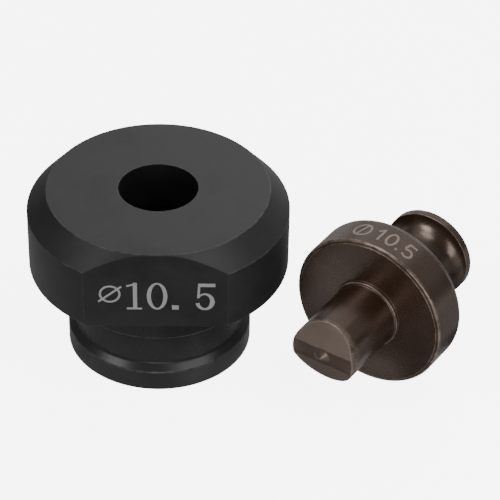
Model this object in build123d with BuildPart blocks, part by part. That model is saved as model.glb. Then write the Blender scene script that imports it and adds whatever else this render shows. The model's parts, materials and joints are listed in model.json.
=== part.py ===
"""Knockout punch: a matched punch and die that shear one round hole in sheet steel.

The die stands on its spigot, with the cutting bore up and centred on the origin. The punch lies
beside it on the rim of its collar, with its axis level. Each is turned from one bar, so each is
one solid. All sizes are in millimetres.
"""
from build123d import *
import os
from math import cos, radians, sin, tan

# The hole that the pair cuts
hole_d = 10.5
die_clearance = 1.6  # on the diameter, for structural plate

# Die: flange above, spigot below
die_h = 28.1
flange_z = 14.8  # underside of the flange, which bears on the die holder
flange_d = 40.0
flange_break = 0.35
top_d = 34.0  # flat seat for the plate
top_chamfer_h = 3.4
flat_offset = 16.9  # from the bore's axis to the milled flat
bore_land = 8.0  # cutting length of the bore, from the top face
relief_d = 14.0  # clears the slugs below the cutting land
relief_taper_h = 1.5

# Die spigot: base ring, smooth groove for the holding screw, land below the flange
spigot_d = 28.5
base_ring_h = 3.5
base_break = 0.25
groove_depth = 1.1
groove_top_z = 10.1

# Punch: cutting shank
shank_l = 12.75  # from the collar to the flat strip of the tip
root_ring_d = 11.2  # low ring round the shank's foot
root_ring_h = 0.6
root_fillet = 0.15
strip_w = 2.8  # flat strip that crosses the tip between the two shear bevels
shear_angle = 24.0
pip_d = 2.7  # cone that finds the centre-punch mark
pip_h = 0.92

# Punch: collar, and the necked knob that the ram holds
collar_d = 25.2
collar_t = 6.65
collar_break = 0.55  # front edge
collar_rear_break = 0.3
neck_d = 9.6
knob_d = 14.45
knob_t = 1.7
knob_l = 12.75  # from the collar to the end face
knob_break = 0.4
cove_turn = 76.5  # degrees that the cove turns, from the neck to the knob's lip

# Where the punch lies: the centre of its collar's front face, and its heading from +X
punch_x = 31.79
punch_y = -10.37
punch_heading = 56.0

os.makedirs("parts", exist_ok=True)

# Die
spigot_r = spigot_d / 2
groove_r = spigot_r - groove_depth
flange_r = flange_d / 2
bore_r = (hole_d + die_clearance) / 2

with BuildPart() as die:
    # Turned blank: the groove has a square upper shoulder and a 45 degree lower flank
    with BuildSketch(Plane.XZ):
        with BuildLine():
            Polyline(
                (0, 0),
                (spigot_r - base_break, 0),
                (spigot_r, base_break),
                (spigot_r, base_ring_h),
                (groove_r, base_ring_h + groove_depth),
                (groove_r, groove_top_z),
                (spigot_r, groove_top_z),
                (spigot_r, flange_z),
                (flange_r - flange_break, flange_z),
                (flange_r, flange_z + flange_break),
                (flange_r, die_h - top_chamfer_h),
                (top_d / 2, die_h),
                (0, die_h),
                close=True,
            )
        make_face()
    revolve(axis=Axis.Z)

    # Flat milled on the front of the flange, which keys the die in its holder
    flat_cut = flange_r - flat_offset
    with BuildSketch(Plane.XY.offset(flange_z)):
        with Locations((0, -flat_offset)):
            Rectangle(flange_d, 2 * flat_cut, align=(Align.CENTER, Align.MAX))
    extrude(amount=die_h - flange_z, mode=Mode.SUBTRACT)

    # Cutting bore with a sharp rim, and the wider slug hole below its land
    with BuildSketch(Plane.XY.offset(die_h)):
        Circle(bore_r)
    extrude(amount=-die_h, mode=Mode.SUBTRACT)
    relief_r = relief_d / 2
    relief_top_z = die_h - bore_land
    with BuildSketch(Plane.XZ):
        with BuildLine():
            Polyline(
                (0, 0),
                (relief_r, 0),
                (relief_r, relief_top_z - relief_taper_h),
                (bore_r, relief_top_z),
                (0, relief_top_z),
                close=True,
            )
        make_face()
    revolve(axis=Axis.Z, mode=Mode.SUBTRACT)

die.part.label = "die"
export_step(die.part, "parts/die.step")

# Punch: its section plane has x along the axis, from tip to knob, and y straight up
shank_r = hole_d / 2
root_ring_r = root_ring_d / 2
root_t = -root_ring_h - root_fillet
collar_r = collar_d / 2
neck_r = neck_d / 2
knob_r = knob_d / 2
strip_half = strip_w / 2
heading = radians(punch_heading)
punch_section = Plane(
    origin=(punch_x, punch_y, collar_r),
    x_dir=(cos(heading), sin(heading), 0),
    z_dir=(sin(heading), -cos(heading), 0),
)
punch_axis = Axis(punch_section.origin, punch_section.x_dir)
end_t = collar_t + knob_l
lip_t = end_t - knob_t
cove_r = (knob_r - neck_r) / (1 - cos(radians(cove_turn)))
cove_t = lip_t - cove_r * sin(radians(cove_turn))

with BuildPart() as punch:
    # Turned blank, from the point of the pip to the end face
    with BuildSketch(punch_section):
        with BuildLine():
            Polyline(
                (-shank_l - pip_h, 0),
                (-shank_l, pip_d / 2),
                (-shank_l, shank_r),
                (root_t, shank_r),
            )
            JernArc((root_t, shank_r), (1, 0), root_fillet, 90)
            Polyline(
                (-root_ring_h, shank_r + root_fillet),
                (-root_ring_h, root_ring_r),
                (0, root_ring_r),
                (0, collar_r - collar_break),
                (collar_break, collar_r),
                (collar_t - collar_rear_break, collar_r),
                (collar_t, collar_r - collar_rear_break),
                (collar_t, neck_r),
                (cove_t, neck_r),
            )
            JernArc((cove_t, neck_r), (1, 0), cove_r, cove_turn)
            Polyline(
                (lip_t, knob_r),
                (end_t - knob_break, knob_r),
                (end_t, knob_r - knob_break),
                (end_t, 0),
                (-shank_l - pip_h, 0),
            )
        make_face()
    revolve(axis=punch_axis)

    # Shear bevels ground above and below the flat strip, so that the cut starts at its two ends
    bevel_fall = shank_r * tan(radians(shear_angle))
    with BuildSketch(punch_section):
        with BuildLine():
            Polyline(
                (-shank_l, strip_half),
                (-shank_l, strip_half + shank_r),
                (-shank_l + bevel_fall, strip_half + shank_r),
                close=True,
            )
        make_face()
        mirror(about=Plane.XZ)
    extrude(amount=shank_r, both=True, mode=Mode.SUBTRACT)

punch.part.label = "punch"
export_step(punch.part, "parts/punch.step")
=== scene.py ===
"""Knockout punch: the finished look of a turned die and punch for round holes in sheet steel.

The two pieces come from the frame as plain solids. Here each is drawn again as one fine surface
with rounded edges, takes its black or brown oxide finish and carries its hole size as a thin mark.
All lengths are in metres, in the frame of the solids.
"""
import json
import math

import bmesh
import bpy
import numpy as np
from bpy.props import FloatProperty, FloatVectorProperty, PointerProperty
from bpy.types import Operator, Panel, PropertyGroup
from mathutils import Matrix, Vector


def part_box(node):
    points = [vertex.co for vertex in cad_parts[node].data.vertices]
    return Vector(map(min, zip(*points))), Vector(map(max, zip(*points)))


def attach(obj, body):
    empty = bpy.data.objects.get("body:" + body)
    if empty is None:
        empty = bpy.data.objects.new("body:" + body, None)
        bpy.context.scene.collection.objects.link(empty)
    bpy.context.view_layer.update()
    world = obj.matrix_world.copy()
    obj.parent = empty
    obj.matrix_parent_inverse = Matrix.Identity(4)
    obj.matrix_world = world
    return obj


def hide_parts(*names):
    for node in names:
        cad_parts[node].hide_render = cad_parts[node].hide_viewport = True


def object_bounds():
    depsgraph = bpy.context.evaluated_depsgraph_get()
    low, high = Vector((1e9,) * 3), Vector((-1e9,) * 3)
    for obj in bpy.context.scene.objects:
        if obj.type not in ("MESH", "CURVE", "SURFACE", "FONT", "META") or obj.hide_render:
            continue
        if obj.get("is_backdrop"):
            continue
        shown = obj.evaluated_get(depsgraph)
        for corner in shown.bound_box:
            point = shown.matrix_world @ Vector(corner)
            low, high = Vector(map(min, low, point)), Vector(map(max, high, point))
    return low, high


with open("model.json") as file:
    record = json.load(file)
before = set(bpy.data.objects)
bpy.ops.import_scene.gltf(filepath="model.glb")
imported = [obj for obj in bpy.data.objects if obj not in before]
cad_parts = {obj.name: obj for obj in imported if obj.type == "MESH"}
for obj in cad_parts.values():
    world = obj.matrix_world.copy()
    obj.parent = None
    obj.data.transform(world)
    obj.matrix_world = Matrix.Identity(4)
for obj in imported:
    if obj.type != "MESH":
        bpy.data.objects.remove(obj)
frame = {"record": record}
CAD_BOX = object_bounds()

bl_info = {
    "name": "Knockout punch",
    "version": (1, 0, 0),
    "blender": (4, 5, 0),
    "location": "3D View > Sidebar > Knockout punch",
    "description": "Draws a knockout die and punch with their oxide finishes, size marks and studio",
    "category": "Object",
}

MM = 0.001
MOUNTS = {mount["name"]: mount for mount in frame["record"]["mounts"]}
BODY = "root"

# A surface's edge number runs from 1 on an edge that is rubbed bare to -1 in a hollow painted dark as shade
FADE = 0.12 * MM  # length over which a rubbed edge or a finish fades out
DIE_RUB = 0.5  # the die's edges are rubbed half as much as the punch's
SHALLOW_PAINTED_SHADE = -0.25  # edge number of the small hollows, which paints them a little darker as shade
NECK_PAINTED_SHADE = -0.75  # edge number of the punch's neck, which paints it darker as shade
STRIP_SHARE = 0.27  # how far the flat strip of the tip has the ground finish
MERGE = 0.2e-6  # points of a mesh that are closer than this become one


def radius_of(mount):
    """The radius of a round mount in metres."""
    return MOUNTS[mount]["dims"]["r_mm"] * MM


def length_of(mount):
    """The wall length of a round mount in metres."""
    return MOUNTS[mount]["dims"]["length_mm"] * MM


# Kinds of setting, each with what it is and where it starts

def in_mm(description, millimetres):
    """A length, given in millimetres."""
    return FloatProperty(description=description, default=millimetres * MM, unit="LENGTH")


def in_degrees(description, degrees):
    """An angle, given in degrees."""
    return FloatProperty(description=description, default=math.radians(degrees), unit="ROTATION")


def colour(description, red, green, blue):
    """An opaque colour."""
    return FloatVectorProperty(description=description, subtype="COLOR", size=4,
                               default=(red, green, blue, 1.0), min=0.0, max=1.0)


def factor(description, value):
    """A roughness or the strength of a reflection."""
    return FloatProperty(description=description, default=value, subtype="FACTOR")


def brightness(description, value):
    """A brightness."""
    return FloatProperty(description=description, default=value)


# Sizes that the mounts and the boxes of the solids don't give

class DieSizes(PropertyGroup):
    """Sizes of the die, beside its height, flange, bore and spigot."""
    top_diameter: in_mm("Flat seat for the plate, inside the wide chamfer", 34.0)
    chamfer_height: in_mm("Height of the wide chamfer on the flange", 3.4)
    flange_break: in_mm("Broken edge round the underside of the flange", 0.35)
    ring_height: in_mm("Height of the ring at the foot of the spigot", 3.5)
    ring_break: in_mm("Broken edge round the base", 0.25)
    groove_depth: in_mm("Depth of the smooth groove round the spigot", 1.1)
    edge_round: in_mm("Rounding left on the turned edges", 0.12)
    flat_round: in_mm("Rounding along the edges of the milled flat", 0.15)


class PunchSizes(PropertyGroup):
    """Sizes of the punch, beside its shank, collar diameter and knob diameter."""
    foot_diameter: in_mm("Low ring round the shank's foot, on the collar", 11.2)
    foot_height: in_mm("Height of the low ring round the shank's foot", 0.6)
    root_fillet: in_mm("Fillet between the shank and its foot", 0.15)
    strip_width: in_mm("Flat strip across the tip, between its two bevels", 2.8)
    shear_angle: in_degrees("Slope of the two bevels of the tip", 24.0)
    pip_diameter: in_mm("Cone in the middle of the tip", 2.7)
    pip_height: in_mm("Height of the cone in the middle of the tip", 0.92)
    collar_thickness: in_mm("Thickness of the collar along the axis", 6.65)
    collar_break: in_mm("Stepped front edge of the collar", 0.55)
    collar_rear_break: in_mm("Broken rear edge of the collar", 0.3)
    neck_diameter: in_mm("Neck behind the collar", 9.6)
    knob_length: in_mm("From the collar to the end face", 12.75)
    knob_thickness: in_mm("Thickness of the end disc at its lip", 1.7)
    knob_break: in_mm("Broken rear edge of the end disc", 0.4)
    cove_turn: in_degrees("Angle that the cove turns between neck and lip", 76.5)
    edge_round: in_mm("Rounding left on the turned edges", 0.08)


class MarkSizes(PropertyGroup):
    """Sizes of the two size marks."""
    die_height: in_mm("Height of the digits on the die's flat", 4.95)
    die_base: in_mm("Height of the digits' foot above the die's base", 18.05)
    punch_height: in_mm("Height of the digits on the collar", 3.0)
    punch_base: in_mm("From the collar's front to the digits' foot", 1.78)
    lift: in_mm("How far a mark stands off the steel", 0.015)


class Finish(PropertyGroup):
    """Colours and gloss of the oxide finishes."""
    die_tone: colour("Base colour of the black oxide", 0.016, 0.016, 0.0165)
    die_patch: colour("Greyer patches on the black oxide", 0.021, 0.021, 0.0215)
    die_edge: colour("Rubbed edges of the black oxide", 0.10, 0.10, 0.10)
    die_roughness: factor("Roughness of the black oxide", 0.45)
    die_reflection: factor("Strength of the black oxide's reflection", 0.25)
    die_tint: colour("Colour of the black oxide's reflection", 1.0, 1.0, 1.0)
    spigot_tone: colour("Black oxide on the smooth spigot", 0.021, 0.021, 0.0215)
    spigot_roughness: factor("Roughness of the smooth spigot", 0.28)
    punch_tone: colour("Base colour of the brown oxide", 0.0185, 0.0092, 0.0051)
    punch_patch: colour("Paler patches on the brown oxide", 0.0245, 0.0137, 0.0084)
    punch_edge: colour("Rubbed edges of the brown oxide", 0.16, 0.125, 0.10)
    punch_roughness: factor("Roughness of the brown oxide", 0.27)
    punch_reflection: factor("Strength of the brown oxide's reflection", 1.0)
    punch_tint: colour("Colour of the brown oxide's reflection", 1.0, 0.79, 0.69)
    tip_tone: colour("Colour of the ground faces of the tip", 0.091, 0.070, 0.059)
    tip_roughness: factor("Roughness of the ground faces", 0.45)
    die_mark_tone: colour("Colour of the size mark on the die", 0.25, 0.25, 0.25)
    punch_mark_tone: colour("Colour of the size mark on the punch", 0.185, 0.148, 0.123)


class Studio(PropertyGroup):
    """Camera and light of the studio."""
    elevation: in_degrees("How far the camera looks down", 37.327)
    heading: in_degrees("Turn of the camera's view from +Y towards +X", 0.886)
    roll: in_degrees("Turn of the camera about its view", 1.066)
    target: FloatVectorProperty(
        description="Point of the floor in the middle of the picture", subtype="XYZ",
        default=(14.36 * MM, 21.458 * MM, 0.0), unit="LENGTH")
    distance: in_mm("From the camera to the target", 400.2)
    lens: FloatProperty(
        description="Focal length in millimetres on a 36 mm sensor", default=174.41, subtype="UNSIGNED")
    floor_size: in_mm("Side of the square floor", 6000.0)
    surround: brightness("Brightness of the even surround", 0.17)
    left_glow: brightness("Softbox at the left of the die", 8.8)
    right_glow: brightness("Softbox at the right of the die", 4.5)
    front_glow: brightness("Low softbox in front of the die", 7.7)
    back_glow: brightness("Wide softbox behind the die", 2.4)
    punch_left_glow: brightness("Softbox at the left of the punch", 8.0)
    punch_front_glow: brightness("Low softbox in front of the punch", 4.6)
    punch_right_glow: brightness("Dim softbox at the right of the punch", 0.3)
    punch_side_glow: brightness("Low dim softbox at the left of the punch", 0.4)
    punch_low_glow: brightness("Low dim softbox behind the punch", 0.4)
    punch_top_glow: brightness("Softbox above the punch", 3.5)
    punch_wide_glow: brightness("Wide dim softbox above the punch", 0.5)
    punch_back_glow: brightness("Dim softbox behind the punch", 0.7)
    paper_glow: brightness("Glow of the floor that only the camera sees", 6.0)


# Lathe work and meshes

def rounded_profile(corners, steps=7):
    """Points (along, radius, edge) of a polyline whose inner corners are turned by arcs.

    Each corner is (along, radius, rounding). Its arc touches both legs at the rounding divided
    by the tangent of half the angle between them, and its points come from turning the line from
    the arc's centre to one touching point evenly onto the other. The third column is 1 on arcs
    that stand out and -1 on arcs in a hollow. Every leg has a point close to each of its ends,
    where that number is 0, so that it fades close to the arc.
    """
    points = np.array([corner[:2] for corner in corners])
    arcs = [np.array([[*points[0], 0.0]])]
    for before, here, after, rounding in zip(points, points[1:], points[2:],
                                             [corner[2] for corner in corners[1:]]):
        back = (before - here) / np.linalg.norm(before - here)
        ahead = (after - here) / np.linalg.norm(after - here)
        half = math.acos(np.clip(back @ ahead, -1, 1)) / 2
        middle = (back + ahead) / np.linalg.norm(back + ahead)
        centre = here + middle * rounding / math.sin(half)
        start = here + back * rounding / math.tan(half) - centre
        end = here + ahead * rounding / math.tan(half) - centre
        turn = math.pi - 2 * half
        share = np.linspace(0, 1, steps)[:, None]
        arc = centre + (start * np.sin((1 - share) * turn) + end * np.sin(share * turn)) / math.sin(turn)
        stands_out = -np.sign(-back[0] * ahead[1] + back[1] * ahead[0])
        arcs.append(np.hstack([arc, np.full((steps, 1), stands_out)]))
    arcs.append(np.array([[*points[-1], 0.0]]))
    rows = [arcs[0]]
    for this, following in zip(arcs, arcs[1:]):
        leg = following[0, :2] - this[-1, :2]
        near = min(FADE / max(np.linalg.norm(leg), 1e-9), 0.3)
        ends = this[-1, :2] + leg * np.array([[near], [1 - near]])
        rows += [np.hstack([ends, np.zeros((2, 1))]), following]
    return np.vstack(rows)


def cut_circles(radius, flat, rounding):
    """Outlines (x, y) of circles cut off by the line y = -flat, one row for each radius.

    A half outline runs along the cut, round its corner and back along the circle. The corner is
    a circle inside both: its centre lies the rounding inside the line, and the rounding inside
    the circle. The other half is its mirror image. Also gives a number for each column, which is
    1 in the middle of the two corners and 0 elsewhere.
    """
    radius, flat = radius[:, None], flat[:, None]
    across = np.sqrt(np.maximum((radius - rounding) ** 2 - (flat - rounding) ** 2, 0.0))
    meet = np.arctan2(across, flat - rounding)
    cut = np.append(np.linspace(0, 0.98, 22)[1:], 1.0)
    corner = np.linspace(0, 1, 8)[1:]
    rest = np.append(0.004, np.linspace(0.012, 1, 110))
    turn = meet * corner
    around = meet + (math.pi - meet) * rest
    x = np.hstack([across * cut, across + rounding * np.sin(turn), radius * np.sin(around)])
    y = np.hstack([-flat + 0 * cut, -(flat - rounding) - rounding * np.cos(turn), -radius * np.cos(around)])
    front = np.stack([0 * flat, -flat], -1)
    right = np.stack([x, y], -1)
    left = right[:, -2::-1] * (-1, 1)
    bend = np.concatenate([0 * cut, np.sin(math.pi * corner), 0 * rest])
    bend = np.concatenate([[0], bend, bend[-2::-1]])
    return np.concatenate([front, right, left], axis=1), bend


def surface_mesh(name, points, closed_along=False, **attributes):
    """A mesh from a grid of points (rows, columns, 3) whose columns close on themselves.

    Each face joins four neighbours of the grid. Rows that shrink to a point are merged there,
    and the faces are turned round if the volume that they enclose comes out negative. Each
    attribute is an array (rows, columns) kept as a number at the vertices.
    """
    rows, columns = points.shape[:2]
    row = np.arange(rows if closed_along else rows - 1)
    this, other = np.meshgrid(row, np.arange(columns), indexing="ij")
    below, right = (this + 1) % rows, (other + 1) % columns
    faces = np.stack([this * columns + other, this * columns + right,
                      below * columns + right, below * columns + other], -1).reshape(-1, 4)
    flat = points.reshape(-1, 3)
    a, b, c, d = [flat[faces[:, k]] for k in range(4)]
    if np.einsum("ij,ij->", a, np.cross(b, c) + np.cross(c, d)) < 0:
        faces = faces[:, ::-1]
    mesh = bpy.data.meshes.new(name)
    mesh.from_pydata(flat.tolist(), [], faces.tolist())
    for key, values in attributes.items():
        layer = mesh.attributes.new(key, "FLOAT", "POINT")
        layer.data.foreach_set("value", np.ascontiguousarray(values, dtype=np.float32).ravel())
    work = bmesh.new()
    work.from_mesh(mesh)
    bmesh.ops.remove_doubles(work, verts=work.verts, dist=MERGE)
    bmesh.ops.dissolve_degenerate(work, edges=work.edges, dist=MERGE)
    work.to_mesh(mesh)
    work.free()
    mesh.polygons.foreach_set("use_smooth", np.ones(len(mesh.polygons), dtype=bool))
    return mesh


def new_object(name, data):
    """An object for a mesh, a light or a camera, in the scene."""
    item = bpy.data.objects.new(name, data)
    bpy.context.scene.collection.objects.link(item)
    return item


def add_piece(name, mesh, material):
    """Puts a mesh into the scene as a piece of the object."""
    piece = new_object(name, mesh)
    mesh.materials.append(material)
    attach(piece, BODY)
    return piece


def add_body(name, mesh, material, replaced):
    """Puts a mesh into the scene in place of a solid, with its shading by face area."""
    piece = add_piece(name, mesh, material)
    shading = piece.modifiers.new("Shading", "WEIGHTED_NORMAL")
    shading.mode = "FACE_AREA"
    shading.weight = 100
    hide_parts(replaced)


def turned(profile, angles):
    """Points of a profile (height, radius) turned about Z, at angles from -Y towards +X."""
    height, radius = profile[:, :1], profile[:, 1:2]
    return np.stack([radius * np.sin(angles), -radius * np.cos(angles), height + 0 * angles], -1)


def between(first, last, shares):
    """Rows that lead from one row of points straight to another, at the given shares."""
    shares = np.array(shares)[:, None, None]
    return first + (last - first) * shares


# The die

def die_surface(sizes):
    """Grid of the die's points, where its edges stand out, and where it is smooth.

    The rows follow the turned section once round: base, spigot, underside, flange, top face,
    bore and slug hole. Spigot and bore are circles of the section's radius. The flange is a
    stack of level slices, each a circle cut off by the milled flat, and the flat's own edges
    above and below are rounded by drawing the cut inward along a quarter circle. The corners of
    the slices count as edges, and those of the turned section stop where they meet the flat. The
    bore and the slug hole are one hollow, painted dark as shade, and the small hollows a little.
    """
    low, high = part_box("die")
    rim, top, flat = high[0], high[2], -low[1]
    top_radius = sizes.top_diameter / 2
    bore, slug, spigot = radius_of("die_bore"), radius_of("slug_hole"), radius_of("die_spigot")
    land_middle = MOUNTS["die_spigot"]["pos_m"][2]
    underside = land_middle + length_of("die_spigot") / 2
    groove_top = land_middle - length_of("die_spigot") / 2
    groove = spigot - sizes.groove_depth
    soft = sizes.edge_round
    crisp = soft / 2

    flange = rounded_profile([
        (underside, spigot, 0),
        (underside, rim - sizes.flange_break, crisp),
        (underside + sizes.flange_break, rim, crisp),
        (top - sizes.chamfer_height, rim, soft),
        (top, top_radius, soft),
        (top, bore, 0),
    ])[3:-3]
    quarter = sizes.flat_round * (1 - np.cos(np.linspace(0, math.pi / 2, 7)))
    cone_rows = np.linspace(top - sizes.chamfer_height + soft, top - soft, 16)
    heights = np.concatenate([flange[:, 0], underside + quarter, top - quarter, cone_rows])
    heights = np.unique(heights.round(9))
    radii = np.interp(heights, flange[:, 0], flange[:, 1])
    edges = np.interp(heights, flange[:, 0], flange[:, 2])
    from_end = np.minimum(heights - underside, top - heights)
    inward = np.maximum(sizes.flat_round - from_end, 0.0)
    flats = flat - sizes.flat_round + np.sqrt(np.maximum(sizes.flat_round ** 2 - inward ** 2, 0.0))
    outlines, corner = cut_circles(radii, flats, sizes.flat_round)
    level = np.broadcast_to(heights[:, None, None], (*outlines.shape[:2], 1))
    slices = np.concatenate([outlines, level], -1)
    lower_angles = np.arctan2(outlines[0, :, 0], -outlines[0, :, 1])
    upper_angles = np.arctan2(outlines[-1, :, 0], -outlines[-1, :, 1])

    spigot_rows = rounded_profile([
        (0, slug + 2 * MM, 0),
        (0, spigot - sizes.ring_break, crisp),
        (sizes.ring_break, spigot, crisp),
        (sizes.ring_height, spigot, 3 * soft),
        (sizes.ring_height + sizes.groove_depth, groove, 5 * soft),
        (groove_top, groove, soft),
        (groove_top, spigot, 2 * soft),
        (underside, spigot, soft),
        (underside, spigot + 1.5 * MM, 0),
    ])
    bore_rows = rounded_profile([
        (top, bore + 2 * MM, 0),
        (top, bore, crisp),
        (top - length_of("die_bore"), bore, crisp),
        (length_of("slug_hole"), slug, crisp),
        (0, slug, soft),
        (0, slug + 1 * MM, 0),
    ])
    spigot_points = turned(spigot_rows, lower_angles)
    bore_points = turned(bore_rows, upper_angles)
    underside_points = between(spigot_points[-1], slices[0], [0.35, 0.97])
    top_points = between(slices[-1], bore_points[0], [0.013, 0.35, 0.7])
    points = np.concatenate([spigot_points, underside_points, slices, top_points, bore_points])

    edge_rows = np.concatenate([spigot_rows[:, 2], np.zeros(len(underside_points)), edges,
                                np.zeros(len(top_points)), bore_rows[:, 2]])
    edge = np.repeat(np.maximum(DIE_RUB * edge_rows, SHALLOW_PAINTED_SHADE)[:, None], points.shape[1], axis=1)
    first_slice = len(spigot_points) + len(underside_points)
    on_flat = (outlines[..., 1] < 1e-7 - flats[:, None]) & (from_end[:, None] > sizes.flat_round)
    slice_edges = np.where(on_flat, 0, edges[:, None]) + corner
    edge[first_slice:first_slice + len(slices)] = DIE_RUB * slice_edges
    rows_of_rim, rows_of_mouth = 9, 10  # the roundings at both ends of the bore
    # The bore's walls are painted dark as shade
    edge[-len(bore_rows) + rows_of_rim:-rows_of_mouth] = -1
    smooth = np.zeros_like(edge)
    rows_on_underside = 4  # beyond the spigot's last corner
    smooth[:len(spigot_rows) - rows_on_underside] = 1
    return points, edge, smooth


class KNOCKOUT_OT_die(Operator):
    """Draw the black die over its solid"""
    bl_idname = "knockout.die"
    bl_label = "Turn the die"

    def execute(self, context):
        points, edge, smooth = die_surface(context.scene.knockout_die)
        mesh = surface_mesh("die_surface", points, closed_along=True, edge=edge, second_finish=smooth)
        material = black_oxide(context.scene.knockout_finish)
        add_body("die_body", mesh, material, "die")
        return {"FINISHED"}


# The punch

def punch_axes():
    """The punch's axis from tip to knob, the level direction across it, and straight up."""
    along = np.array(MOUNTS["punch_knob"]["axis"], dtype=float)
    along /= np.linalg.norm(along)
    up = np.array([0.0, 0.0, 1.0])
    return along, np.cross(along, up), up


def punch_origin(sizes):
    """The middle of the collar's front face, where lengths along the punch start."""
    end = np.array(MOUNTS["punch_end"]["pos_m"])
    return end - punch_axes()[0] * (sizes.collar_thickness + sizes.knob_length)


def on_punch(sizes, lengths, radii, azimuth):
    """Points at a length along the punch and a radius, at angles from the level side upwards."""
    along, side, up = punch_axes()
    around = radii[..., None] * (np.cos(azimuth)[..., None] * side + np.sin(azimuth)[..., None] * up)
    return punch_origin(sizes) + lengths[..., None] * along + around


def soft_ramp(value, width):
    """Rises from 0 below zero to the value itself above zero, with a smooth bend of a width."""
    return (value + np.sqrt(value ** 2 + width ** 2)) / 2


def tip_rows(sizes, shank, azimuth):
    """Lengths and radii of the tip's rows, from the pip's point out to the rim.

    The tip is a height over the shank's end plane: the flat strip is level, the bevels fall away
    in proportion to the distance above or below the strip, and the pip is a cone on the middle.
    The bends between them are soft ramps. The rows stand at fixed radii over the pip, then
    at fixed distances from the strip's two edges, and the last ones turn round the rim.
    """
    half = sizes.strip_width / 2
    pip = sizes.pip_diameter / 2
    soft, crease_width = 0.16 * MM, 0.12 * MM
    blunt, pip_crease = 0.07, 0.06  # shares of the pip's radius
    rim = shank - soft
    share = np.array([0, 0.04, 0.1, 0.2, 0.4, 0.6, 0.8, 0.88, 0.94, 1.0, 1.06, 1.12])
    cone = np.repeat(share[:, None] * pip, len(azimuth), axis=1)
    away = np.array([-0.3, -0.16, -0.08, 0, 0.08, 0.16, 0.3, 0.8, 1.6, 2.6]) * MM
    level = np.maximum(np.abs(np.sin(azimuth)), 1e-6)
    crease = np.clip((half + away[:, None]) / level, cone[-1], rim)
    radii = np.vstack([cone, crease, np.full((1, len(azimuth)), rim)])

    def depth(radius):
        above = np.abs(radius * np.sin(azimuth)) - half
        point = np.sqrt((radius / pip) ** 2 + blunt ** 2)
        stand = sizes.pip_height * soft_ramp(1 - point, pip_crease)
        return math.tan(sizes.shear_angle) * soft_ramp(above, crease_width) - stand

    lengths = depth(radii)
    turn = np.linspace(0, math.pi / 2, 6)[1:, None]
    rim_radii = rim + soft * np.sin(turn) + 0 * azimuth
    rim_lengths = depth(radii[-1]) + soft * (1 - np.cos(turn))
    rubbed_crease = [0, 0, 0.5, 0.6, 0.5, 0, 0, 0, 0, 0, 0.4]
    edge = np.concatenate([np.zeros(len(cone)), rubbed_crease, np.ones(len(turn))])
    return np.vstack([lengths, rim_lengths]), np.vstack([radii, rim_radii]), edge


def punch_surface(sizes, columns=288):
    """Grid of the punch's points, where its edges stand out, and where it is ground.

    The rows run from the pip over the tip's rim and along the turned section to the middle of
    the end face. The collar's front edge is a small step back and then a quarter round. The cove
    behind the neck is an arc that starts along the axis and turns by the cove's angle, with the
    radius that brings it out to the lip. The neck is a hollow painted dark as shade, which fades
    out along the first part of the cove, and the small hollows are painted a little darker. Of
    the tip, the bevels are ground, and the strip a little.
    """
    low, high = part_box("punch")
    shank, knob = radius_of("punch_shank"), radius_of("punch_knob")
    collar = (high[2] - low[2]) / 2
    neck = sizes.neck_diameter / 2
    foot, foot_end = sizes.foot_diameter / 2, -sizes.foot_height
    soft, step, back = sizes.edge_round, sizes.collar_break, sizes.collar_thickness
    shank_end = sizes.foot_height + sizes.root_fillet + length_of("punch_shank")
    end = back + sizes.knob_length
    lip = end - sizes.knob_thickness
    cove = (knob - neck) / (1 - math.cos(sizes.cove_turn))
    cove_start = lip - cove * math.sin(sizes.cove_turn)
    turn = np.linspace(0, sizes.cove_turn, 22)[:, None]
    cove_rows = np.hstack([cove_start + cove * np.sin(turn), neck + cove * (1 - np.cos(turn)), 0 * turn])

    azimuth = np.linspace(0, 2 * math.pi, columns, endpoint=False)
    tip_lengths, tip_radii, tip_edge = tip_rows(sizes, shank, azimuth)
    front = rounded_profile([
        (-0.8 * shank_end, shank, 0),
        (foot_end, shank, sizes.root_fillet),
        (foot_end, foot, 2 * soft),
        (0, foot, soft),
        (0, collar - step, soft),
        (0.36 * step, collar - 0.96 * step, 0.02 * MM),
        (0.38 * step, collar, 0.6 * step),
        (back - 0.7 * MM, collar, soft),
        (back - sizes.collar_rear_break, collar - 0.1 * MM, soft),
        (back, collar - sizes.collar_rear_break, soft),
        (back, neck, 2 * soft),
        (cove_start, neck, 0),
    ], steps=9)[:-1]
    rear = rounded_profile([
        tuple(cove_rows[-2, :2]) + (0,),
        (lip, knob, soft),
        (end - sizes.knob_break, knob, soft),
        (end, knob - sizes.knob_break, soft),
        (end, 0, 0),
    ], steps=9)
    section = np.vstack([front, cove_rows[:-2], rear])
    # Small hollows are painted a little darker as shade, and the neck darker still
    section[:, 2] = np.maximum(section[:, 2], SHALLOW_PAINTED_SHADE)
    hollow = np.clip(1 - (section[:, 0] - cove_start) / (0.4 * cove), 0, 1)
    in_neck = (section[:, 0] > back) & (hollow > 0)
    section[in_neck, 2] = NECK_PAINTED_SHADE * hollow[in_neck]
    lengths = np.vstack([tip_lengths - shank_end, np.repeat(section[:, :1], columns, axis=1)])
    radii = np.vstack([tip_radii, np.repeat(section[:, 1:2], columns, axis=1)])
    edge = np.repeat(np.concatenate([tip_edge, section[:, 2]])[:, None], columns, axis=1)
    ground = np.zeros_like(edge)
    above_strip = np.abs(tip_radii[:-2] * np.sin(azimuth)) - sizes.strip_width / 2
    ground[:len(above_strip)] = np.clip(above_strip / FADE + 0.5, STRIP_SHARE, 1)
    return on_punch(sizes, lengths, radii, np.broadcast_to(azimuth, lengths.shape)), edge, ground


class KNOCKOUT_OT_punch(Operator):
    """Draw the brown punch over its solid"""
    bl_idname = "knockout.punch"
    bl_label = "Turn the punch"

    def execute(self, context):
        points, edge, ground = punch_surface(context.scene.knockout_punch)
        mesh = surface_mesh("punch_surface", points, edge=edge, second_finish=ground)
        material = brown_oxide(context.scene.knockout_finish, context.scene.knockout_punch)
        add_body("punch_body", mesh, material, "punch")
        return {"FINISHED"}


# The size marks

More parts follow.
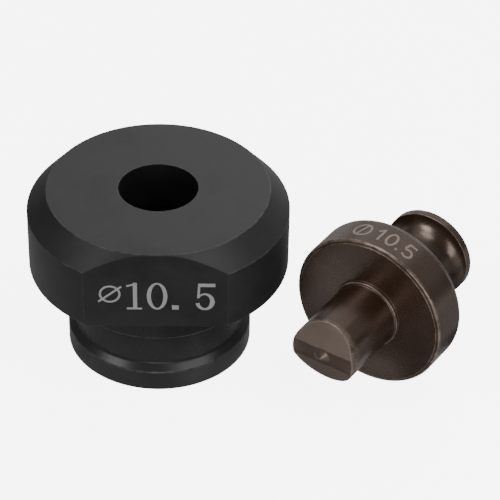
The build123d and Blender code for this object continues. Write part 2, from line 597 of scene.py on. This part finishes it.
def curve(centre, radii, start, end, count=48):
    """Points of an ellipse's arc, with its angles in degrees from the right, counter-clockwise."""
    angle = np.radians(np.linspace(start, end, count))
    return np.array(centre) + np.stack([radii[0] * np.cos(angle), radii[1] * np.sin(angle)], -1)


def line(start, end, count=12):
    """Evenly spaced points from start to end."""
    return np.linspace(start, end, count)


def serif_strokes():
    """Strokes (path, widths) of a diameter sign and 10.5 with thick and thin lines.

    One unit is the height of a digit, the foot of the digits is at 0, and the middle of the
    mark is at 0 across.
    """
    thin, thick = 0.066, 0.125
    sign, one, zero, dot, five = -1.37, -0.652, 0.04, 0.582, 1.483
    ring = curve((sign, 0.566), (0.29, 0.29), 0, 360)
    oval = curve((zero, 0.5), (0.245, 0.475), 0, 360)
    oval_widths = thin + (thick - thin) * np.abs(np.cos(np.linspace(0, 2 * np.pi, len(oval)))) ** 1.5
    bowl = curve((five - 0.02, 0.31), (0.225, 0.285), 150, -168)
    bowl_widths = np.interp(np.linspace(0, 1, len(bowl)),
                            [0, 0.2, 0.5, 0.75, 0.9, 1], [0.04, 0.07, 0.15, 0.07, 0.1, 0.12])
    return [
        (ring, thin),
        (line((sign - 0.345, 0.28), (sign + 0.345, 0.85)), thin),
        (line((one + 0.035, 0.0), (one + 0.035, 1.0)), thick),
        (line((one - 0.22, 0.03), (one + 0.24, 0.03)), thin),
        (line((one - 0.22, 0.87), (one + 0.01, 0.94)), thin),
        (oval, oval_widths),
        (line((dot - 0.1, 0.08), (dot + 0.1, 0.08), 2), 0.16),
        (line((five - 0.21, 0.93), (five + 0.29, 0.93)), thick),
        (line((five - 0.185, 0.98), (five - 0.215, 0.44)), 0.075),
        (bowl, bowl_widths),
    ]


def plain_strokes():
    """Strokes (path, widths) of a diameter sign and 10.5 in one thin line width, in digit heights."""
    stroke = 0.125
    sign, one, zero, dot, five = -1.15, -0.03, 0.583, 1.073, 1.61
    return [
        (curve((sign, 0.533), (0.46, 0.47), 0, 360), stroke),
        (line((sign - 0.17, 0.05), (sign + 0.18, 1.02)), stroke),
        (line((one, 0.03), (one, 1.0)), stroke),
        (line((one - 0.25, 0.7), (one, 0.96)), stroke),
        (curve((zero, 0.497), (0.25, 0.44), 0, 360), stroke),
        (line((dot - 0.065, 0.06), (dot + 0.065, 0.06), 2), 0.14),
        (line((five - 0.17, 0.9), (five + 0.28, 0.9)), stroke),
        (line((five - 0.15, 0.9), (five - 0.22, 0.5)), stroke),
        (curve((five + 0.02, 0.27), (0.25, 0.265), 145, -150), stroke),
    ]


def stroke_mesh(name, strokes, place):
    """One mesh of flat bands: each path carries a thin box section, and place() lays it down.

    A band's section is a rectangle of the path's width at each point, square to the path. Its
    four corners run along the path, both ends are capped, and place(across, up, lifted) turns
    the flat drawing into points on the steel. Bands that cross have tops at different heights.
    """
    points, faces, start = [], [], 0
    for number, (path, width) in enumerate(strokes):
        count = len(path)
        step = np.gradient(path, axis=0)
        step /= np.linalg.norm(step, axis=1)[:, None]
        square = np.stack([-step[:, 1], step[:, 0]], -1) * np.broadcast_to(width, count)[:, None] / 2
        corners = np.stack([path - square, path + square, path + square, path - square], 1)
        top = 1 + 0.25 * (number % 4)
        lifted = np.broadcast_to([0.0, 0.0, top, top], (count, 4))
        points.append(place(corners[..., 0], corners[..., 1], lifted).reshape(-1, 3))
        row, side = np.meshgrid(np.arange(count - 1) * 4, np.arange(4), indexing="ij")
        after = (side + 1) % 4
        quads = np.stack([row + side, row + 4 + side, row + 4 + after, row + after], -1).reshape(-1, 4)
        last = (count - 1) * 4
        caps = np.array([[0, 1, 2, 3], [last + 3, last + 2, last + 1, last]])
        faces.append(np.vstack([quads, caps]) + start)
        start += count * 4
    mesh = bpy.data.meshes.new(name)
    mesh.from_pydata(np.vstack(points).tolist(), [], np.vstack(faces).tolist())
    return mesh


def add_mark(name, mesh, material):
    """Puts a size mark into the scene, with its faces turned outwards."""
    work = bmesh.new()
    work.from_mesh(mesh)
    bmesh.ops.recalc_face_normals(work, faces=work.faces)
    work.to_mesh(mesh)
    work.free()
    add_piece(name, mesh, material)


class KNOCKOUT_OT_marks(Operator):
    """Draw the hole size on the die's flat and on the punch's collar"""
    bl_idname = "knockout.marks"
    bl_label = "Draw the size marks"

    def execute(self, context):
        marks, punch = context.scene.knockout_marks, context.scene.knockout_punch
        flat = -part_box("die")[0][1]
        low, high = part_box("punch")
        collar = (high[2] - low[2]) / 2

        def on_flat(across, up, lifted):
            depth = -flat + marks.lift - 2 * marks.lift * lifted
            height = marks.die_base + up * marks.die_height
            return np.stack([across * marks.die_height, depth, height], -1)

        def on_collar(across, up, lifted):
            radius = collar - marks.lift + 2 * marks.lift * lifted
            azimuth = math.pi / 2 - across * marks.punch_height / collar
            return on_punch(punch, marks.punch_base + up * marks.punch_height, radius, azimuth)

        finish = context.scene.knockout_finish
        add_mark("die_size_mark", stroke_mesh("die_size", serif_strokes(), on_flat),
                 mark_material("die_mark", finish.die_mark_tone))
        add_mark("punch_size_mark", stroke_mesh("punch_size", plain_strokes(), on_collar),
                 mark_material("punch_mark", finish.punch_mark_tone))
        return {"FINISHED"}


# Finishes

def new_group(name, inputs, outputs):
    """An empty shader node group with named sockets, and its input and output nodes."""
    group = bpy.data.node_groups.new(name, "ShaderNodeTree")
    for label, kind, default in inputs:
        socket = group.interface.new_socket(label, in_out="INPUT", socket_type=kind)
        if default is not None:
            socket.default_value = default
    for label, kind in outputs:
        group.interface.new_socket(label, in_out="OUTPUT", socket_type=kind)
    return group, group.nodes.new("NodeGroupInput"), group.nodes.new("NodeGroupOutput")


def new_material(name):
    """A material, with its node tree and its shader."""
    material = bpy.data.materials.new(name)
    material.use_nodes = True
    return material, material.node_tree, material.node_tree.nodes["Principled BSDF"]


def feed(tree, socket, value):
    """Links a socket to another, or sets it to a value."""
    if isinstance(value, bpy.types.NodeSocket):
        tree.links.new(value, socket)
    else:
        socket.default_value = value


def feed_all(tree, node, **values):
    """Links or sets inputs of a node, given by name with underscores for spaces."""
    for label, value in values.items():
        feed(tree, node.inputs[label.replace("_", " ")], value)
    return node


def new_node(tree, kind, **values):
    """A shader node of a kind, with its inputs linked or set."""
    return feed_all(tree, tree.nodes.new("ShaderNode" + kind), **values)


def maths(tree, operation, first, second=0.0, clamp=False):
    """A Math node with each input linked or set."""
    node = new_node(tree, "Math")
    node.operation = operation
    node.use_clamp = clamp
    feed(tree, node.inputs[0], first)
    feed(tree, node.inputs[1], second)
    return node.outputs[0]


def noise(tree, vector, scale, detail=4.0, roughness=0.55):
    """A noise texture's value."""
    node = new_node(tree, "TexNoise", Vector=vector, Scale=scale, Detail=detail, Roughness=roughness)
    return node.outputs["Fac"]


def spread(tree, value, low, high, to_low=0.0, to_high=1.0):
    """Maps a value from one range to another, held inside it."""
    node = new_node(tree, "MapRange", Value=value, From_Min=low, From_Max=high,
                    To_Min=to_low, To_Max=to_high)
    return node.outputs["Result"]


def blend_colours(tree, share, first, second):
    """Mixes two colours by a share."""
    node = new_node(tree, "Mix")
    node.data_type = "RGBA"
    feed(tree, node.inputs[0], share)
    feed(tree, node.inputs[6], first)
    feed(tree, node.inputs[7], second)
    return node.outputs[2]


def oxide_group():
    """Node group: a cloudy oxide skin with smudges, fine grain, rubbed edges and a second finish.

    Soft patches lead from one tone to the other. Smudges darken them a little. Where the second
    finish is 1, its tone and roughness take over. Edges above 0 are rubbed to the edge tone in
    specks, and those below 0 are hollows, which are painted darker as shade and made rougher.
    """
    name = "Oxide skin"
    if name in bpy.data.node_groups:
        return bpy.data.node_groups[name]
    group, inside, outside = new_group(
        name,
        [("Vector", "NodeSocketVector", None), ("Tone", "NodeSocketColor", None),
         ("Patch Tone", "NodeSocketColor", None), ("Second Tone", "NodeSocketColor", None),
         ("Edge Tone", "NodeSocketColor", None), ("Edge", "NodeSocketFloat", 0.0),
         ("Second", "NodeSocketFloat", 0.0), ("Roughness", "NodeSocketFloat", 0.4),
         ("Second Roughness", "NodeSocketFloat", 0.3), ("Roughness Spread", "NodeSocketFloat", 0.08)],
        [("Color", "NodeSocketColor"), ("Roughness", "NodeSocketFloat"), ("Grain", "NodeSocketFloat")])
    given = inside.outputs
    clouds = noise(group, given["Vector"], 210.0)
    smudges = noise(group, given["Vector"], 75.0, detail=5.0, roughness=0.62)
    grain = noise(group, given["Vector"], 4200.0, detail=3.0)
    darkest, dullest = 0.12, 0.28  # share of the colour kept under painted shade, and added roughness, in a hollow
    skin = blend_colours(group, spread(group, clouds, 0.36, 0.68), given["Tone"], given["Patch Tone"])
    skin = blend_colours(group, given["Second"], skin, given["Second Tone"])
    rubbed = spread(group, noise(group, given["Vector"], 900.0), 0.3, 0.7)
    rubbed = maths(group, "MULTIPLY", given["Edge"], rubbed, clamp=True)
    skin = blend_colours(group, rubbed, skin, given["Edge Tone"])
    # The hollows' darker colour is painted shade
    painted_hollow_shade = spread(group, given["Edge"], -1.0, 0.0, darkest, 1.0)
    shade = maths(group, "MULTIPLY", spread(group, smudges, 0.54, 0.74, 1.0, 0.6), painted_hollow_shade)
    smudged = new_node(group, "HueSaturation", Value=shade, Color=skin)
    rough = spread(group, given["Second"], 0.0, 1.0, given["Roughness"], given["Second Roughness"])
    swing = maths(group, "ADD", maths(group, "MULTIPLY", grain, 0.3), clouds)
    swing = maths(group, "MULTIPLY", maths(group, "SUBTRACT", swing, 0.65), given["Roughness Spread"])
    swing = maths(group, "ADD", swing, spread(group, given["Edge"], -1.0, 0.0, dullest, 0.0))
    rough = maths(group, "ADD", rough, swing, clamp=True)
    feed_all(group, outside, Color=smudged.outputs["Color"], Roughness=rough, Grain=grain)
    return group


def turning_group():
    """Node group: the fine rings that a turning tool leaves round the X axis.

    A noise in one dimension runs along a mixture of the distance from the axis and the
    distance along it, so that it makes rings on cylinders, cones and flat ends.
    """
    name = "Turning rings"
    if name in bpy.data.node_groups:
        return bpy.data.node_groups[name]
    group, inside, outside = new_group(
        name, [("Vector", "NodeSocketVector", None), ("Rings", "NodeSocketFloat", 5000.0)],
        [("Height", "NodeSocketFloat")])
    x, y, z = new_node(group, "SeparateXYZ", Vector=inside.outputs["Vector"]).outputs
    squares = maths(group, "ADD", maths(group, "MULTIPLY", y, y), maths(group, "MULTIPLY", z, z))
    along = maths(group, "ADD", maths(group, "SQRT", squares), maths(group, "MULTIPLY", x, 0.63))
    rings = new_node(group, "TexNoise", Detail=2.0, Scale=1.0)
    rings.noise_dimensions = "1D"
    feed(group, rings.inputs["W"], maths(group, "MULTIPLY", along, inside.outputs["Rings"]))
    feed(group, outside.inputs["Height"], rings.outputs["Fac"])
    return group


def place_group(tree, group, **values):
    """A node group in a material, with its inputs linked or set."""
    node = new_node(tree, "Group")
    node.node_tree = group
    return feed_all(tree, node, **values)


def attribute(tree, name):
    """The number that a surface keeps under a name."""
    node = new_node(tree, "Attribute")
    node.attribute_name = name
    return node.outputs["Fac"]


def oxide_material(name, level, tint, axis, **skin_values):
    """A steel skin of oxide: cloudy colour, rubbed edges, turning rings and grain.

    The axis is the place and turn of the lathe's axis. Level and tint are the strength and the
    colour of the shader's reflection.
    """
    material, tree, shader = new_material(name)
    shader.inputs["Specular IOR Level"].default_value = level
    shader.inputs["Specular Tint"].default_value = tint
    where = new_node(tree, "TexCoord").outputs["Object"]
    centred = new_node(tree, "Mapping", Vector=where, Location=axis[0], Rotation=axis[1])
    centred.vector_type = "TEXTURE"
    skin = place_group(tree, oxide_group(), Vector=where, Edge=attribute(tree, "edge"),
                       Second=attribute(tree, "second_finish"), **skin_values)
    rings = place_group(tree, turning_group(), Vector=centred.outputs["Vector"])
    height = maths(tree, "ADD", maths(tree, "MULTIPLY", rings.outputs["Height"], 0.7),
                   maths(tree, "MULTIPLY", skin.outputs["Grain"], 0.3))
    relief = new_node(tree, "Bump", Strength=0.035, Distance=0.01 * MM, Height=height)
    feed_all(tree, shader, Base_Color=skin.outputs["Color"], Roughness=skin.outputs["Roughness"],
             Normal=relief.outputs["Normal"])
    return material


def black_oxide(finish):
    """The die's skin: black oxide, smoother on the turned spigot."""
    upright = ((0, 0, 0), (0, math.radians(-90), 0))
    return oxide_material(
        "black_oxide_steel", finish.die_reflection, finish.die_tint, upright,
        Tone=finish.die_tone, Patch_Tone=finish.die_patch, Edge_Tone=finish.die_edge,
        Second_Tone=finish.spigot_tone, Roughness=finish.die_roughness,
        Second_Roughness=finish.spigot_roughness)


def brown_oxide(finish, punch):
    """The punch's skin: brown oxide, paler on the ground tip."""
    along = punch_axes()[0]
    lying = (tuple(punch_origin(punch)), (0, 0, math.atan2(along[1], along[0])))
    return oxide_material(
        "brown_oxide_steel", finish.punch_reflection, finish.punch_tint, lying,
        Tone=finish.punch_tone, Patch_Tone=finish.punch_patch, Edge_Tone=finish.punch_edge,
        Second_Tone=finish.tip_tone, Roughness=finish.punch_roughness,
        Second_Roughness=finish.tip_roughness)


def mark_material(name, tone):
    """A size mark: steel bared to a dull grey, with fine flecks."""
    material, tree, shader = new_material(name)
    where = new_node(tree, "TexCoord").outputs["Object"]
    paler = tuple(1.4 * value for value in tone[:3]) + (1.0,)
    fleck = noise(tree, where, 4000.0, detail=2.0)
    feed(tree, shader.inputs["Base Color"], blend_colours(tree, fleck, tone, paler))
    feed(tree, shader.inputs["Roughness"], spread(tree, fleck, 0.3, 0.7, 0.55, 0.75))
    return material


# The studio

def towards(azimuth, elevation):
    """The direction at an angle from +Y towards +X, and an angle above the floor, in degrees."""
    azimuth, elevation = math.radians(azimuth), math.radians(elevation)
    return Vector((math.sin(azimuth) * math.cos(elevation), math.cos(azimuth) * math.cos(elevation),
                   math.sin(elevation)))


def add_softbox(name, azimuth, elevation, distance, size, glow, lit):
    """A rectangular light that faces both pieces and lights only some objects."""
    light = bpy.data.lights.new(name, "AREA")
    light.shape = "RECTANGLE"
    light.size, light.size_y = size
    light.energy = math.pi * size[0] * size[1] * glow
    softbox = new_object(name, light)
    away = towards(azimuth, elevation)
    middle = Vector((12 * MM, 0, 14 * MM))
    softbox.matrix_world = Matrix.LocRotScale(middle + away * distance, away.to_track_quat("Z", "Y"), None)
    receivers = bpy.data.collections.new("lit_by_" + name)
    for piece in lit:
        receivers.objects.link(bpy.data.objects[piece])
    softbox.light_linking.receiver_collection = receivers


def add_camera(studio):
    """The camera, from its elevation, heading and roll about a point of the floor."""
    ahead = towards(math.degrees(studio.heading), -math.degrees(studio.elevation))
    right = Vector((math.cos(studio.heading), -math.sin(studio.heading), 0))
    up = right.cross(ahead)
    right, up = (right * math.cos(studio.roll) + up * math.sin(studio.roll),
                 up * math.cos(studio.roll) - right * math.sin(studio.roll))
    camera = bpy.data.cameras.new("camera")
    camera.lens = studio.lens
    camera.sensor_width = 36.0
    camera.clip_start = 10 * MM
    camera.clip_end = 20.0
    stand = new_object("camera", camera)
    matrix = Matrix((right, up, -ahead)).transposed().to_4x4()
    matrix.translation = Vector(studio.target) - ahead * studio.distance
    stand.matrix_world = matrix
    bpy.context.scene.camera = stand


def straight_look(tree, otherwise, looked_at):
    """One number where the camera looks straight at a surface, and another in reflections."""
    path = new_node(tree, "LightPath")
    return spread(tree, path.outputs["Is Camera Ray"], 0.0, 1.0, otherwise, looked_at)


def add_floor(studio, punch):
    """A plain white floor, which the pieces reflect with painted light and shade by its place.

    In reflections only, its colour is painted lighter towards the back. Spots paint pools of
    light round the die, in front of both pieces and at the foot of the collar, and shadow under
    the shank, before the punch's tip and at the right of the collar. Two painted gleams at the
    front of the die's foot glow in reflections only.
    """
    half = studio.floor_size / 2
    mesh = bpy.data.meshes.new("floor")
    corners = [(-half, -half, 0), (half, -half, 0), (half, half, 0), (-half, half, 0)]
    mesh.from_pydata(corners, [], [(0, 1, 2, 3)])
    floor = new_object("floor", mesh)
    material, tree, shader = new_material("floor_paper")
    where = new_node(tree, "TexCoord").outputs["Object"]

    def spot(centre, x, y, full, gone, inner, outer):
        """A shade that is full within a distance of a point and gone at another, in millimetres."""
        apart = new_node(tree, "VectorMath")
        apart.operation = "DISTANCE"
        apart.inputs[1].default_value = (centre[0] + x * MM, centre[1] + y * MM, 0)
        feed(tree, apart.inputs[0], where)
        return spread(tree, apart.outputs["Value"], full * MM, gone * MM, inner, outer)

    die, collar = np.zeros(3), punch_origin(punch)
    shank = collar - punch_axes()[0] * 12 * MM
    parts = new_node(tree, "SeparateXYZ", Vector=where).outputs
    # In reflections the floor is painted lighter towards the back
    painted_light_and_shadow = spread(tree, maths(tree, "ADD", parts["X"], parts["Y"]), 25 * MM, 190 * MM, 0.25, 0.62)

    # Spots of painted light and shadow, in order: paler or greyer, counted from where, place, full and gone
    # at, and shade
    unchanged = {"MAXIMUM": 0, "MINIMUM": 1}
    for choice, centre, x, y, full, gone, shade in (
            ("MAXIMUM", die, -8, 0, 36, 46, 0.56),
            ("MAXIMUM", die, 9, -18, 4, 9, 1),
            ("MAXIMUM", collar, 14, -38, 20, 38, 0.9),
            ("MINIMUM", shank, 0, 0, 8, 17, 0.18),
            ("MAXIMUM", collar, 9.5, -1, 5, 8, 0.75),
            ("MINIMUM", die, 11, -28, 7, 13, 0.2),
            ("MINIMUM", collar, 20.5, 5, 3.5, 6.5, 0.08),
            ("MAXIMUM", collar, 0, 0, 4.5, 8, 1)):
        painted_light_and_shadow = maths(tree, choice, painted_light_and_shadow, spot(centre, x, y, full, gone, shade, unchanged[choice]))
    # Two painted gleams in front of the die's foot, which glow in reflections only
    painted_gleam = maths(tree, "ADD", spot(die, 8, -11, 5, 8.5, 0.2, 0), spot(die, -7, -11, 5, 8, 0.15, 0))

    paper, black, white = 0.9, (0, 0, 0, 1), (1, 1, 1, 1)
    grey = blend_colours(tree, straight_look(tree, painted_light_and_shadow, paper), black, white)
    feed_all(tree, shader, Base_Color=grey, Roughness=0.9, Specular_IOR_Level=0.0, Emission_Color=white,
             Emission_Strength=straight_look(tree, painted_gleam, studio.paper_glow))
    mesh.materials.append(material)
    floor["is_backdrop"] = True


def add_world(studio):
    """An even surround, which looks as light as the floor to the camera."""
    world = bpy.data.worlds.new("studio")
    world.use_nodes = True
    tree = world.node_tree
    strength = straight_look(tree, studio.surround, studio.paper_glow + 1.0)
    feed_all(tree, tree.nodes["Background"], Color=(1, 1, 1, 1), Strength=strength)
    bpy.context.scene.world = world


# Softboxes: name, azimuth, elevation, distance and size
DIE_SOFTBOXES = (
    ("left", -117, 43, 0.6, (0.24, 0.17)),
    ("right", 130, 48, 0.6, (0.4, 0.36)),
    ("front", 182, 10, 0.6, (0.26, 0.19)),
    ("back", 27, 42, 0.8, (0.95, 0.6)),
)
PUNCH_SOFTBOXES = (
    ("punch_left", -118, 51, 0.6, (0.24, 0.24)),
    ("punch_front", 174, 7, 0.6, (0.7, 0.26)),
    ("punch_right", 62, 31, 0.7, (0.7, 0.4)),
    ("punch_side", -66, 4, 0.8, (0.5, 0.4)),
    ("punch_low", -12, 7, 0.8, (0.45, 0.3)),
    ("punch_top", -90, 82, 0.6, (0.36, 0.36)),
    ("punch_wide", -60, 70, 0.8, (1.0, 1.0)),
    ("punch_back", 20, 35, 0.8, (0.8, 0.8)),
)


class KNOCKOUT_OT_studio(Operator):
    """Set up the floor, the soft lights and the camera"""
    bl_idname = "knockout.studio"
    bl_label = "Set up the studio"

    def execute(self, context):
        studio = context.scene.knockout_studio
        add_floor(studio, context.scene.knockout_punch)
        add_world(studio)
        for softboxes, lit in ((DIE_SOFTBOXES, ("die_body", "die_size_mark", "floor")),
                               (PUNCH_SOFTBOXES, ("punch_body", "punch_size_mark"))):
            for name, *placing in softboxes:
                add_softbox(name + "_softbox", *placing, getattr(studio, name + "_glow"), lit)
        add_camera(studio)
        return {"FINISHED"}


# The add-on

STEPS = (KNOCKOUT_OT_die, KNOCKOUT_OT_punch, KNOCKOUT_OT_marks, KNOCKOUT_OT_studio)
GROUPS = {
    "knockout_die": DieSizes,
    "knockout_punch": PunchSizes,
    "knockout_marks": MarkSizes,
    "knockout_finish": Finish,
    "knockout_studio": Studio,
}


class KNOCKOUT_PT_panel(Panel):
    """Sizes, finishes and steps of the knockout punch"""
    bl_idname = "KNOCKOUT_PT_panel"
    bl_label = "Knockout punch"
    bl_space_type = "VIEW_3D"
    bl_region_type = "UI"
    bl_category = "Knockout punch"

    def draw(self, context):
        for step in STEPS:
            self.layout.operator(step.bl_idname)
        for key, group in GROUPS.items():
            box = self.layout.box()
            box.label(text=group.__name__)
            for label in group.__annotations__:
                box.prop(getattr(context.scene, key), label, text=label.replace("_", " ").capitalize())


def register():
    for group in (*GROUPS.values(), *STEPS, KNOCKOUT_PT_panel):
        bpy.utils.register_class(group)
    for key, group in GROUPS.items():
        setattr(bpy.types.Scene, key, PointerProperty(type=group))


def unregister():
    for key in GROUPS:
        delattr(bpy.types.Scene, key)
    for group in (KNOCKOUT_PT_panel, *reversed(STEPS), *reversed(GROUPS.values())):
        bpy.utils.unregister_class(group)


def main():
    """Registers the add-on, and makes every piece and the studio."""
    register()
    bpy.ops.knockout.die()
    bpy.ops.knockout.punch()
    bpy.ops.knockout.marks()
    bpy.ops.knockout.studio()
    boxes = {"cad": CAD_BOX, "visual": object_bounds()}
    boxes = {key: [[float(value) for value in corner] for corner in box] for key, box in boxes.items()}


if __name__ == "__main__":
    main()
